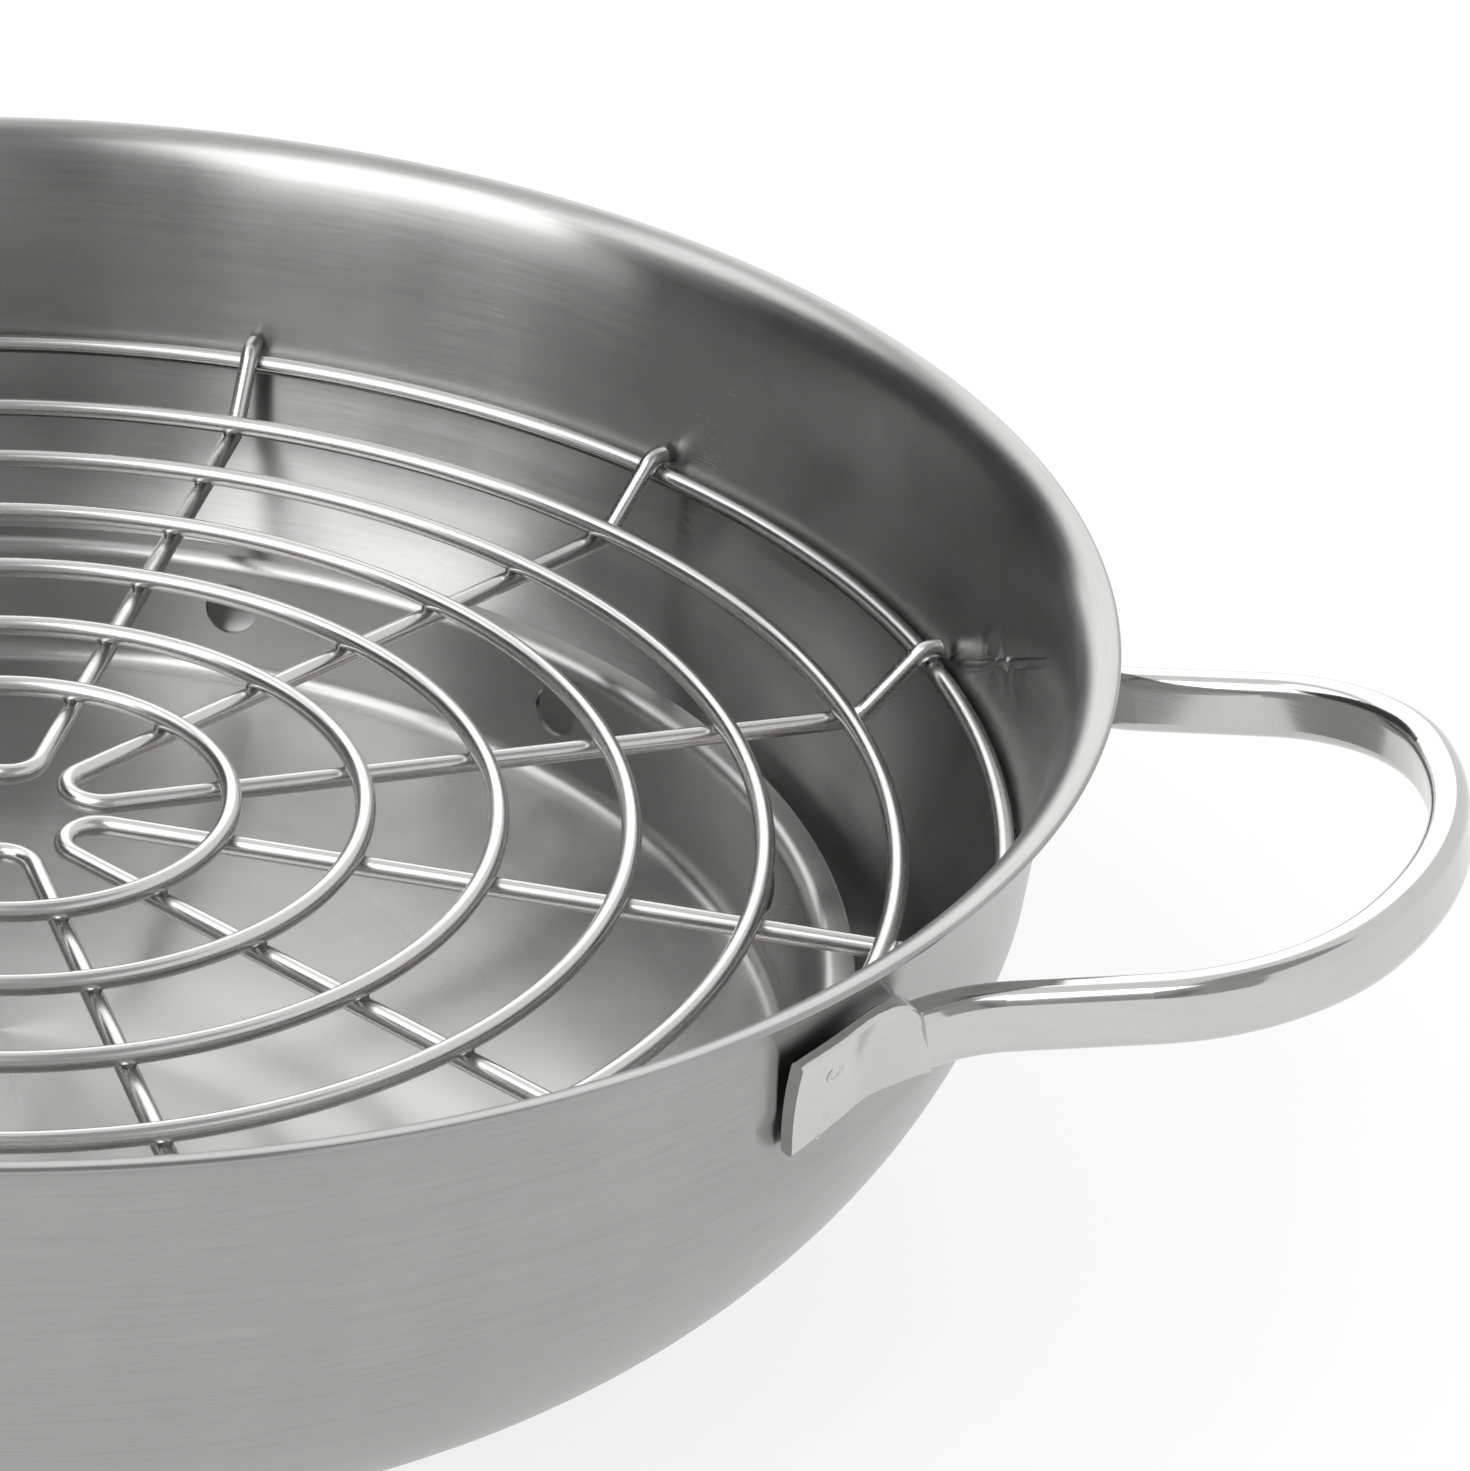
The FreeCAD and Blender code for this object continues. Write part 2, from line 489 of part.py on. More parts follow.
def rounded_section(body, name, place, blend, corner):
    """Section with rounded edges, blend 0 for the flat foot and 1 for the bar.

    The foot's two long sides follow the flare, hollow side outwards; the bar's are straight.
    corner names the size of the rounding.
    """
    sketch = new_sketch(body, "XY_Plane", name, place)

    def mixed(foot_name, bar_name):
        """Value and formula part way from the foot's size to the bar's."""
        value = size(foot_name) + (size(bar_name) - size(foot_name)) * blend
        formula = "(Sizes.%s + (Sizes.%s - Sizes.%s) * %.4f)"
        return value, formula % (foot_name, bar_name, foot_name, blend)

    wide, wide_formula = mixed("foot_thick", "bar_width")
    tall, tall_formula = mixed("foot_height", "bar_height")
    r = size(corner)
    hollow = blend < 1
    centre = size("foot_arm") / (1 - blend) if hollow else 0.0
    centre_formula = "Fits.foot_arm / %.4f" % (1 - blend)
    cy = tall / 2 - r
    outline = {}
    for side in (1, -1):
        if hollow:
            reach = centre - side * (wide / 2 - r)
            lean = math.asin(cy / reach)
            cx = centre - math.sqrt(reach ** 2 - cy ** 2)
            radius = centre - side * wide / 2
            long_side = Part.ArcOfCircle(Part.Circle(V(centre, 0, 0), V(0, 0, 1), radius),
                                         math.pi - lean, math.pi + lean)
        else:
            lean, cx = 0.0, side * (wide / 2 - r)
            long_side = Part.LineSegment(V(side * wide / 2, cy, 0), V(side * wide / 2, -cy, 0))
        outline[side] = sketch.addGeometry(long_side, False)
        near, far = (-lean, QUARTER_TURN) if side > 0 else (QUARTER_TURN, math.pi - lean)
        outline[side, "top"] = sketch.addGeometry(Part.ArcOfCircle(
            Part.Circle(V(cx, cy, 0), V(0, 0, 1), r), near, far), False)
        outline[side, "low"] = sketch.addGeometry(Part.ArcOfCircle(
            Part.Circle(V(cx, -cy, 0), V(0, 0, 1), r), -far, -near), False)
        outline[side, "x"] = cx
    top, low = [sketch.addGeometry(Part.LineSegment(
        V(outline[1, "x"], y, 0), V(outline[-1, "x"], y, 0)), False) for y in (tall / 2, -tall / 2)]
    joints = [(outline[1], 1, outline[1, "top"], 1), (outline[1], 2, outline[1, "low"], 2),
              (outline[-1], 1, outline[-1, "top"], 2), (outline[-1], 2, outline[-1, "low"], 1),
              (top, 1, outline[1, "top"], 2), (top, 2, outline[-1, "top"], 1),
              (low, 1, outline[1, "low"], 1), (low, 2, outline[-1, "low"], 2)]
    for joint in joints:
        bind(sketch, Sketcher.Constraint("Tangent", *joint))
    for line in (top, low):
        bind(sketch, Sketcher.Constraint("Horizontal", line))
    bind(sketch, Sketcher.Constraint("Radius", outline[1, "top"], r), named(corner))
    for other in ((1, "low"), (-1, "top"), (-1, "low")):
        bind(sketch, Sketcher.Constraint("Equal", outline[1, "top"], outline[other]))
    half_tall = tall_formula + " / 2"
    bind(sketch, Sketcher.Constraint("DistanceY", -1, 1, top, 1, tall / 2), half_tall)
    bind(sketch, Sketcher.Constraint("DistanceY", low, 1, -1, 1, tall / 2), half_tall)
    half_wide = wide_formula + " / 2"
    if hollow:
        for side, sign in ((1, "-"), (-1, "+")):
            bind(sketch, Sketcher.Constraint("PointOnObject", outline[side], 3, -1))
            bind(sketch, Sketcher.Constraint("DistanceX", -1, 1, outline[side], 3, centre),
                 centre_formula)
            bind(sketch, Sketcher.Constraint("Radius", outline[side], centre - side * wide / 2),
                 "%s %s %s" % (centre_formula, sign, half_wide))
    else:
        for side in (1, -1):
            bind(sketch, Sketcher.Constraint("Vertical", outline[side]))
        bind(sketch, Sketcher.Constraint("DistanceX", -1, 1, outline[1], 1, wide / 2), half_wide)
        bind(sketch, Sketcher.Constraint("DistanceX", outline[-1], 1, -1, 1, wide / 2), half_wide)
    return sketch


def loop_path(body, name):
    """Centre line of the loop in its own tilted plane, symmetric about the handle's middle."""
    place = FreeCAD.Placement(
        V(size("root_reach"), 0, size("root_level")), ROT(V(0, -1, 0), size("handle_tilt_angle")))
    sketch = new_sketch(body, "XY_Plane", name, place)
    big, small, bend = size("loop_tip"), size("loop_corner"), size("root_bend_radius")
    begin = V(0, size("root_half_gap"), 0)
    hub = begin + V(math.sin(root_slant), math.cos(root_slant), 0) * bend
    leg_at = hub - V(math.sin(slant_in), math.cos(slant_in), 0) * bend
    bend_at = leg_at + V(math.cos(slant_in), -math.sin(slant_in), 0) * size("leg_length")
    corner_at = bend_at - V(math.sin(slant_in), math.cos(slant_in), 0) * small
    tip_x = corner_at.x - math.sqrt((big - small) ** 2 - corner_at.y ** 2)
    share = math.atan2(corner_at.y, corner_at.x - tip_x)
    halves = []
    for side in (1, -1):
        low, high = sorted((-side * (QUARTER_TURN + root_slant), -side * (QUARTER_TURN + slant_in)))
        root_bend = sketch.addGeometry(Part.ArcOfCircle(
            Part.Circle(V(hub.x, side * hub.y, 0), V(0, 0, 1), bend), low, high), False)
        leg = sketch.addGeometry(Part.LineSegment(
            V(leg_at.x, side * leg_at.y, 0), V(bend_at.x, side * bend_at.y, 0)), False)
        near = share if side > 0 else slant_in - QUARTER_TURN
        far = QUARTER_TURN - slant_in if side > 0 else -share
        corner = sketch.addGeometry(Part.ArcOfCircle(
            Part.Circle(V(corner_at.x, side * corner_at.y, 0), V(0, 0, 1), small), near, far), False)
        halves.append((root_bend, leg, corner))
    tip = sketch.addGeometry(Part.ArcOfCircle(
        Part.Circle(V(tip_x, 0, 0), V(0, 0, 1), big), -share, share), False)
    (root_bend, leg, corner), (other_bend, other_leg, other_corner) = halves
    bind(sketch, Sketcher.Constraint("Tangent", root_bend, 2, leg, 1))
    bind(sketch, Sketcher.Constraint("Tangent", leg, 2, corner, 2))
    bind(sketch, Sketcher.Constraint("Tangent", corner, 1, tip, 2))
    bind(sketch, Sketcher.Constraint("Tangent", tip, 1, other_corner, 2))
    bind(sketch, Sketcher.Constraint("Tangent", other_corner, 1, other_leg, 2))
    bind(sketch, Sketcher.Constraint("Tangent", other_leg, 1, other_bend, 1))
    bind(sketch, Sketcher.Constraint("PointOnObject", root_bend, 1, -2))
    bind(sketch, Sketcher.Constraint("Symmetric", root_bend, 1, other_bend, 2, -1))
    bind(sketch, Sketcher.Constraint("PointOnObject", tip, 3, -1))
    bind(sketch, Sketcher.Constraint("Equal", corner, other_corner))
    bind(sketch, Sketcher.Constraint("Equal", root_bend, other_bend))
    bind(sketch, Sketcher.Constraint("DistanceY", -1, 1, root_bend, 1, begin.y),
         "Fits.root_half_gap")
    bind(sketch, Sketcher.Constraint("Radius", root_bend, bend), "Sizes.root_bend_radius")
    bind(sketch, Sketcher.Constraint("Angle", root_bend, root_slant - slant_in),
         "Sizes.root_bend_angle * 1 deg")
    bind(sketch, Sketcher.Constraint("Distance", leg, size("leg_length")), "Sizes.leg_length")
    bind(sketch, Sketcher.Constraint("Angle", leg, -slant_in), "-Sizes.leg_turn_angle * 1 deg")
    bind(sketch, Sketcher.Constraint("Radius", corner, small), "Sizes.loop_corner")
    bind(sketch, Sketcher.Constraint("Radius", tip, big), "Sizes.loop_tip")
    return sketch


def smooth(t):
    """Soft rise from 0 to 1."""
    return t * t * (3 - 2 * t)


def foot_sections(body, label):
    """Sections from a foot's free end, along the wall, round the bend and into the bar."""
    sections = []
    climb = math.radians(size("foot_climb_angle"))
    low = math.radians(size("foot_lean_angle")) - climb
    first, last = math.radians(size("foot_end_angle")), math.radians(size("foot_start_angle"))
    arm = size("foot_arm")
    for n in range(FOOT_STATIONS):
        part = n / (FOOT_STATIONS - 1)
        angle, lean = first + (last - first) * part, low + climb * part
        outward = V(math.cos(angle), math.sin(angle), 0)
        up = outward * math.sin(lean) + V(0, 0, math.cos(lean))
        reach = size("flare_centre_radius") - arm * math.cos(lean)
        point = outward * reach + V(0, 0, size("flare_centre_level") + arm * math.sin(lean))
        round_wall = V(math.sin(angle), -math.cos(angle), 0) * reach * (first - last)
        leave = (round_wall + up * arm * climb).normalize()
        place = section_place(point, leave, up)
        sections.append(rounded_section(
            body, "%s_foot_%d" % (label, n), place, 0.0, "foot_corner"))
    arrive = rise_x * math.cos(root_slant) - across_y * math.sin(root_slant)
    pull = (root - point).Length * size("bend_ease")
    for n in range(1, BEND_STATIONS + 1):
        t = n / BEND_STATIONS
        share = smooth(t)
        spot = point * (1 - share) + root * share
        spot = spot + leave * pull * t * (1 - t) ** 2 - arrive * pull * t * t * (1 - t)
        way = (root - point) * 6 * t * (1 - t)
        way = way + leave * pull * (1 - t) * (1 - 3 * t) + arrive * pull * t * (3 * t - 2)
        top = up * (1 - t ** 3) + loop_normal * t ** 3
        swell = (size("bar_width") - size("foot_thick")) * share / 2
        shrink = (size("foot_height") - size("bar_height")) * share / 2
        outside = V(-way.y, way.x, 0).normalize()
        spot = spot + outside * swell * (1 - t * t) + top * shrink * (1 - t)
        place = section_place(spot, way, top)
        sections.append(rounded_section(
            body, "%s_bend_%d" % (label, n), place, share, "foot_corner"))
    bar_section = rounded_section(body, label + "_bar_section", place, 1.0, "bar_corner")
    return sections, bar_section


def make_handle(label, turn):
    """One handle, turned about Z to its side of the pan."""
    body = doc.addObject("PartDesign::Body", label)
    sections, bar_section = foot_sections(body, label)
    path = loop_path(body, label + "_loop_line")
    bar = body.newObject("PartDesign::AdditivePipe", label + "_bar")
    bar.Profile = bar_section
    bar.Spine = (path, [])
    bar.Mode = 0
    bar.Transition = 0
    foot = body.newObject("PartDesign::AdditiveLoft", label + "_foot")
    foot.Profile = sections[-1]
    foot.Sections = sections[-2::-1]
    foot.Ruled = False
    feet = body.newObject("PartDesign::Mirrored", label + "_feet")
    feet.Originals = [foot]
    feet.MirrorPlane = (plane(body, "XZ_Plane"), [""])
    body.Tip = feet
    body.Placement = FreeCAD.Placement(V(0, 0, 0), turned(turn))


make_handle("handle_right", 0.0)
make_handle("handle_left", 180.0)
doc.recompute()

NODES = ["pan_shell", "base_core", "base_cap", "handle_right", "handle_left", "drip_tray"]
NODES += ["rack_ring_%d" % n for n in range(1, FLAT_RINGS + 2)]
NODES += ["rack_hairpin_%d" % n for n in range(1, HAIRPINS + 1)]

for thing in doc.Objects:
    if "Invalid" in thing.State or "Error" in thing.State:
        raise RuntimeError("not built: " + thing.Name)

os.makedirs("parts", exist_ok=True)
for name in NODES:
    node = doc.getObject(name)
    node.Label = name
    shape = node.Shape
    if shape.isNull() or not shape.isValid() or len(shape.Solids) != 1:
        raise RuntimeError("bad solid: " + name)
for name in NODES:
    shape = doc.getObject(name).Shape
    shape.exportStep("parts/%s.step" % name)
    box = shape.optimalBoundingBox(False)
    print("%-16s volume %9.1f  X %7.2f %7.2f  Y %7.2f %7.2f  Z %6.2f %6.2f" % (
        name, shape.Volume, box.XMin, box.XMax, box.YMin, box.YMax, box.ZMin, box.ZMax))
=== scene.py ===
# %% [markdown]
# # A stovetop smoker pan in brushed and polished steel
#
# The part is a round pan with two looped handles. A drip tray lies loose inside it, and a
# wire rack lies on the wall above the tray. Every solid of the pan comes ready made as the
# frame, in metres, with +Z up and the underside of the base at Z = 0.
#
# This lesson dresses that frame. It spins the bowl, the tray and the rings again as very
# smooth steel, adds the marks that a welder leaves, gives each kind of steel its own finish,
# and lights the result plainly.

import math

import bpy
from mathutils import Euler, Matrix, Vector


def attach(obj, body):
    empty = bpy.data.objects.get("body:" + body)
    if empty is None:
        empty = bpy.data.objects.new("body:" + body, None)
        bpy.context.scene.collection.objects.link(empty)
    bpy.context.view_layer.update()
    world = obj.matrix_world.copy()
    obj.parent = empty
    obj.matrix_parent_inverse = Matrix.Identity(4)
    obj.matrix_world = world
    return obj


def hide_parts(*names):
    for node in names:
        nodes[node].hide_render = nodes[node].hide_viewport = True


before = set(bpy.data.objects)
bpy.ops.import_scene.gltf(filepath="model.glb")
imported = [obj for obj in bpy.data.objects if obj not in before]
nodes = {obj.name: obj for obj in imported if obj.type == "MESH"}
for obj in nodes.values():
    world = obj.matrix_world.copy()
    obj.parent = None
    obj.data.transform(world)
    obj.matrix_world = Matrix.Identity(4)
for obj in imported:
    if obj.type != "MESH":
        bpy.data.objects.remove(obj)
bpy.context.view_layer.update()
bpy.ops.object.select_all(action="DESELECT")
MM = 0.001
print("nodes:", ", ".join(sorted(nodes)))

# %% [markdown]
# ## The camera
#
# The pan is seen from above its front right side through a long lens, so close that the
# left half of the bowl falls outside the frame. A long lens keeps the rings nearly
# parallel. The place and the turn of the camera are written out, because the framing
# depends on them to a fraction of a degree.

# %% Camera
CAMERA_PLACE = (0.22001, -0.57314, 0.40175)
CAMERA_TURN = (61.2767, -4.3191, 14.3417)
CAMERA_LENS = 129.095
SENSOR_WIDTH = 36.0

camera_data = bpy.data.cameras.new("camera")
camera_data.lens = CAMERA_LENS
camera_data.sensor_width = SENSOR_WIDTH
camera_data.sensor_fit = "HORIZONTAL"
camera_data.clip_start = 0.01
camera_data.clip_end = 20.0
camera = bpy.data.objects.new("camera", camera_data)
camera.location = CAMERA_PLACE
camera.rotation_euler = Euler([math.radians(a) for a in CAMERA_TURN], "XYZ")
bpy.context.scene.collection.objects.link(camera)
bpy.context.scene.camera = camera
print("camera at", CAMERA_PLACE, "lens", CAMERA_LENS)

# %% [markdown]
# ## Materials made of nodes
#
# Steel shows how it was worked. A spun or brushed bowl carries fine grooves round its axis,
# a drawn wire carries them along its length, and a polished bar has almost none. In Blender
# that is a metallic Principled shader whose roughness, bump and anisotropy follow a grain.
# A small helper keeps the node trees readable: it adds a node, sets its values and links
# its inputs in one line.

# %% Helpers for node trees
def add(tree, kind, inputs=None, **settings):
    """Add a node, set its properties and feed its inputs with values or sockets."""
    node = tree.nodes.new(kind)
    for key, value in settings.items():
        setattr(node, key, value)
    for key, value in (inputs or {}).items():
        if isinstance(value, bpy.types.NodeSocket):
            tree.links.new(value, node.inputs[key])
        else:
            node.inputs[key].default_value = value
    return node


def math_node(tree, operation, first, second=0.0):
    """One step of arithmetic; the result is a socket."""
    return add(tree, "ShaderNodeMath", {0: first, 1: second}, operation=operation).outputs[0]


def weighed(tree, first, second, share):
    """Sum of two sockets, share for the first one and the rest for the second."""
    return math_node(tree, "ADD", math_node(tree, "MULTIPLY", first, share),
                     math_node(tree, "MULTIPLY", second, 1 - share))


def ranged(tree, value, low, high):
    """Spread a noise, which mostly lies between 0.3 and 0.7, over low to high."""
    return add(tree, "ShaderNodeMapRange", {
        "Value": value, "From Min": 0.3, "From Max": 0.7,
        "To Min": low, "To Max": high}).outputs[0]


def noise(tree, vector, scale, detail, rough=0.5):
    """Plain noise texture; the result is a socket."""
    return add(tree, "ShaderNodeTexNoise", {
        "Vector": vector, "Scale": scale, "Detail": detail, "Roughness": rough}).outputs["Fac"]


def steel_tint(tree, shade):
    """Grey with the trace of warmth that stainless steel has."""
    return add(tree, "ShaderNodeCombineColor", {
        0: shade, 1: math_node(tree, "MULTIPLY", shade, 0.997),
        2: math_node(tree, "MULTIPLY", shade, 0.992)}).outputs[0]


def new_material(name):
    """Empty node material with its output node."""
    material = bpy.data.materials.new(name)
    material.use_nodes = True
    tree = material.node_tree
    tree.nodes.clear()
    output = add(tree, "ShaderNodeOutputMaterial")
    return material, tree, output


# %% [markdown]
# ### Brushed round the axis
#
# The bowl, the tray and the base were brushed while they turned, so the grooves run round
# the Z axis. Noise makes them: along the turn it is slow, across the turn it is very fine.
# Cosine and sine of the direction replace the angle itself, so the grain closes without a
# seam. The same direction gives the shader its tangent, and the anisotropy smears every
# reflection across the grooves, which draws the soft streaks down a pan's wall.

# %% Turned steel
# Scales of the noise per metre across the grooves, and of the slow bands both ways.
SHORT_GRAIN = 1500.0
LONG_GRAIN = 800.0
BAND_TURN = 7.0
BAND_RISE = 14.0
AXIS_GUARD = 0.5 * MM


def turned_place(tree):
    """Cosine and sine of the direction from the Z axis, and radius plus level."""
    place = add(tree, "ShaderNodeTexCoord").outputs["Object"]
    x, y, z = add(tree, "ShaderNodeSeparateXYZ", {0: place}).outputs
    square = math_node(tree, "ADD", math_node(tree, "MULTIPLY", x, x),
                       math_node(tree, "MULTIPLY", y, y))
    radius = math_node(tree, "SQRT", square)
    safe = math_node(tree, "MAXIMUM", radius, AXIS_GUARD)
    return (math_node(tree, "DIVIDE", x, safe), math_node(tree, "DIVIDE", y, safe),
            math_node(tree, "ADD", radius, z))


def turned_noise(tree, turn, slow, fine, detail, rough=0.6):
    """Noise drawn out round the axis: slow along the turn, fine across it."""
    vector = add(tree, "ShaderNodeCombineXYZ", {
        0: math_node(tree, "MULTIPLY", turn[0], slow),
        1: math_node(tree, "MULTIPLY", turn[1], slow),
        2: math_node(tree, "MULTIPLY", turn[2], fine)}).outputs[0]
    return noise(tree, vector, 1.0, detail, rough)


def turned_steel(name, tone, roughness, anisotropy, groove, contrast, slow):
    """Steel brushed in rings.

    groove is the depth of the grain, contrast its shade, and slow shortens its lines.
    """
    material, tree, output = new_material(name)
    turn = turned_place(tree)
    short = turned_noise(tree, turn, slow, SHORT_GRAIN, 2.0)
    long = turned_noise(tree, turn, slow / 4, LONG_GRAIN, 3.0)
    bands = turned_noise(tree, turn, BAND_TURN, BAND_RISE, 2.0)
    grain = weighed(tree, short, long, 0.45)
    shade = ranged(tree, weighed(tree, grain, bands, 0.55),
                   tone * (1 - contrast), tone * (1 + contrast))
    rough = ranged(tree, weighed(tree, grain, bands, 0.4), roughness * 0.88, roughness * 1.12)
    bump = add(tree, "ShaderNodeBump", {
        "Strength": 1.0, "Distance": groove, "Height": grain}).outputs[0]
    tangent = add(tree, "ShaderNodeTangent", direction_type="RADIAL", axis="Z").outputs[0]
    steel = add(tree, "ShaderNodeBsdfPrincipled", {
        "Base Color": steel_tint(tree, shade), "Metallic": 1.0, "Roughness": rough,
        "Normal": bump, "Anisotropic": anisotropy, "Anisotropic Rotation": 0.25,
        "Tangent": tangent})
    tree.links.new(steel.outputs[0], output.inputs["Surface"])
    return material


bowl_steel = turned_steel("bowl_steel", 0.365, 0.25, 0.9, 0.000002, 0.12, 16.0)
tray_steel = turned_steel("tray_steel", 0.46, 0.25, 0.9, 0.000001, 0.05, 12.0)
cap_steel = turned_steel("cap_steel", 0.45, 0.34, 0.6, 0.000003, 0.15, 20.0)
core_aluminium = turned_steel("core_aluminium", 0.72, 0.4, 0.5, 0.000003, 0.04, 20.0)
print("turned finishes:", bowl_steel.name, tray_steel.name, cap_steel.name)

# %% [markdown]
# ### Polished bar, bright wire and weld
#
# The handles were buffed to a mirror, and the wires were drawn through a die and bright
# dipped. Both still wave a little, and both carry faint lines. A low roughness with a soft,
# slow bump bends the reflections the way real buffed steel does. A weld is the same steel
# burnt dull. Its dark colour is partly that burn and partly painted shade between the
# crossing wires.

# %% Polished steel
def polished_steel(name, tone, roughness, wave, streak):
    """Buffed steel: mirror-like, with a slow wave and faint lines at right angles to Z."""
    material, tree, output = new_material(name)
    place = add(tree, "ShaderNodeTexCoord").outputs["Object"]
    slow = noise(tree, place, 55.0, 2.0)
    drawn = add(tree, "ShaderNodeMapping", {"Vector": place, "Scale": (60.0, 60.0, streak)})
    fine = noise(tree, drawn.outputs[0], 1.0, 4.0, 0.65)
    rough = ranged(tree, fine, roughness * 0.75, roughness * 1.3)
    shade = ranged(tree, weighed(tree, slow, fine, 0.5), tone * 0.95, tone * 1.05)
    height = math_node(tree, "ADD", math_node(tree, "MULTIPLY", slow, wave),
                       math_node(tree, "MULTIPLY", fine, wave * 0.02))
    bump = add(tree, "ShaderNodeBump", {
        "Strength": 1.0, "Distance": 1.0, "Height": height}).outputs[0]
    steel = add(tree, "ShaderNodeBsdfPrincipled", {
        "Base Color": steel_tint(tree, shade), "Metallic": 1.0, "Roughness": rough,
        "Normal": bump})
    tree.links.new(steel.outputs[0], output.inputs["Surface"])
    return material


handle_steel = polished_steel("handle_steel", 0.56, 0.13, 0.00003, 2400.0)
wire_steel = polished_steel("wire_steel", 0.60, 0.24, 0.00001, 3000.0)
# Dark weld colour: partly burnt steel, partly painted shade where the wires cross.
weld_burn_and_shade = polished_steel("weld_burn_and_shade", 0.24, 0.36, 0.00002, 900.0)
print("polished finishes:", handle_steel.name, wire_steel.name, weld_burn_and_shade.name)

# %% Put the finishes on the frame
FINISHES = {"pan_shell": bowl_steel, "base_core": core_aluminium, "base_cap": cap_steel,
            "handle_right": handle_steel, "handle_left": handle_steel,
            "drip_tray": tray_steel}
for name, node in nodes.items():
    finish = FINISHES.get(name, wire_steel)
    node.data.materials.clear()
    node.data.materials.append(finish)
print("dressed", len(nodes), "nodes")

# %% [markdown]
# ## Smooth sheets, spun again
#
# A bright sheet shows every facet in its highlights, so the bowl and the tray are spun once
# more with far finer steps. The outline is a chain of straights and arcs that leave each
# other smoothly, exactly as the metal is formed: the underside is walked from the middle to
# the rim, then the top side back to the middle. One vertex is extruded along that walk, and
# the spin operator turns it round the axis.

# %% Walk along a smooth outline
RIM_STEPS = 10
SEAM = 0.01 * MM


def walk(level, moves, offset):
    """Points (radius, level) along straights and arcs, each leaving the last smoothly.

    A move is (length,) or (radius, turn in degrees, steps); a positive turn bends upwards,
    a negative one outwards. The radius holds for the underside, offset leads to the top.
    """
    radius_here, level_here = 0.0, level
    heading = 0.0
    points = [(radius_here, level_here)]
    for move in moves:
        if len(move) == 1:
            radius_here += math.cos(heading) * move[0]
            level_here += math.sin(heading) * move[0]
            points.append((radius_here, level_here))
            continue
        side = 1 if move[1] > 0 else -1
        bend = move[0] - side * offset
        turn = math.radians(abs(move[1]))
        centre = (radius_here - side * math.sin(heading) * bend,
                  level_here + side * math.cos(heading) * bend)
        for n in range(1, move[2] + 1):
            now = heading + side * turn * n / move[2]
            points.append((centre[0] + side * math.sin(now) * bend,
                           centre[1] - side * math.cos(now) * bend))
        heading += side * turn
        radius_here, level_here = points[-1]
    return points, heading


def sheet_outline(level, sheet, moves):
    """Outline of a sheet of even thickness whose outer edge is half round."""
    under, heading = walk(level, moves, 0.0)
    over, heading = walk(level + sheet, moves, sheet)
    middle = ((under[-1][0] + over[-1][0]) / 2, (under[-1][1] + over[-1][1]) / 2)
    rim = []
    for n in range(1, RIM_STEPS):
        angle = heading - math.pi / 2 + math.pi * n / RIM_STEPS
        rim.append((middle[0] + math.cos(angle) * sheet / 2,
                    middle[1] + math.sin(angle) * sheet / 2))
    return under + rim + over[::-1]


def spin_sheet(name, outline, steps):
    """Extrude one vertex along the outline and spin the line round Z."""
    bpy.ops.object.select_all(action="DESELECT")
    bpy.ops.mesh.primitive_circle_add(vertices=3, radius=MM, location=(0, 0, 0))
    piece = bpy.context.object
    piece.name = name
    bpy.ops.object.mode_set(mode="EDIT")
    bpy.ops.mesh.select_all(action="SELECT")
    bpy.ops.mesh.merge(type="CENTER")
    bpy.ops.transform.translate(value=(outline[0][0], 0, outline[0][1]))
    for (r0, z0), (r1, z1) in zip(outline, outline[1:]):
        bpy.ops.mesh.extrude_region_move(
            TRANSFORM_OT_translate={"value": (r1 - r0, 0, z1 - z0)})
    bpy.ops.mesh.select_all(action="SELECT")
    bpy.ops.mesh.spin(steps=steps, angle=2 * math.pi, center=(0, 0, 0), axis=(0, 0, 1))
    bpy.ops.mesh.select_all(action="SELECT")
    bpy.ops.mesh.remove_doubles(threshold=SEAM)
    bpy.ops.mesh.normals_make_consistent(inside=False)
    bpy.ops.object.mode_set(mode="OBJECT")
    bpy.ops.object.shade_smooth()
    return piece


def copied(source, place, turn, scale=(1, 1, 1)):
    """Copy with its own mesh at a place, a turn and a size."""
    copy = source.copy()
    copy.data = source.data.copy()
    copy.location = place
    copy.rotation_euler = turn
    copy.scale = scale
    bpy.context.scene.collection.objects.link(copy)
    return copy


def joined(copies, name):
    """All copies as one piece whose origin lies in the origin of the frame."""
    bpy.ops.object.select_all(action="DESELECT")
    for copy in copies:
        copy.select_set(True)
    bpy.context.view_layer.objects.active = copies[0]
    bpy.ops.object.transform_apply(location=True, rotation=True, scale=True)
    bpy.ops.object.join()
    piece = bpy.context.object
    piece.name = name
    return piece


def settle(piece, finish, body, slot, *replaced):
    """Give a finished piece its steel, its body and the nodes it stands for; slot is not used.
    """
    piece.data.materials.clear()
    piece.data.materials.append(finish)
    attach(piece, body)
    if replaced:
        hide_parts(*replaced)
    print(piece.name, "has", len(piece.data.polygons), "faces and rides on", body)


# %% [markdown]
# ### The bowl
#
# The bowl is drawn from one sheet: flat floor, knee, rounded side, a short shoulder, a
# straight wall and a flared mouth that bends ever tighter into a level pouring lip. Where
# the feet of the handles were welded on outside, the heat pulled shallow dimples into the
# wall. They are pushed in with proportional editing, so the sheet keeps its thickness there.

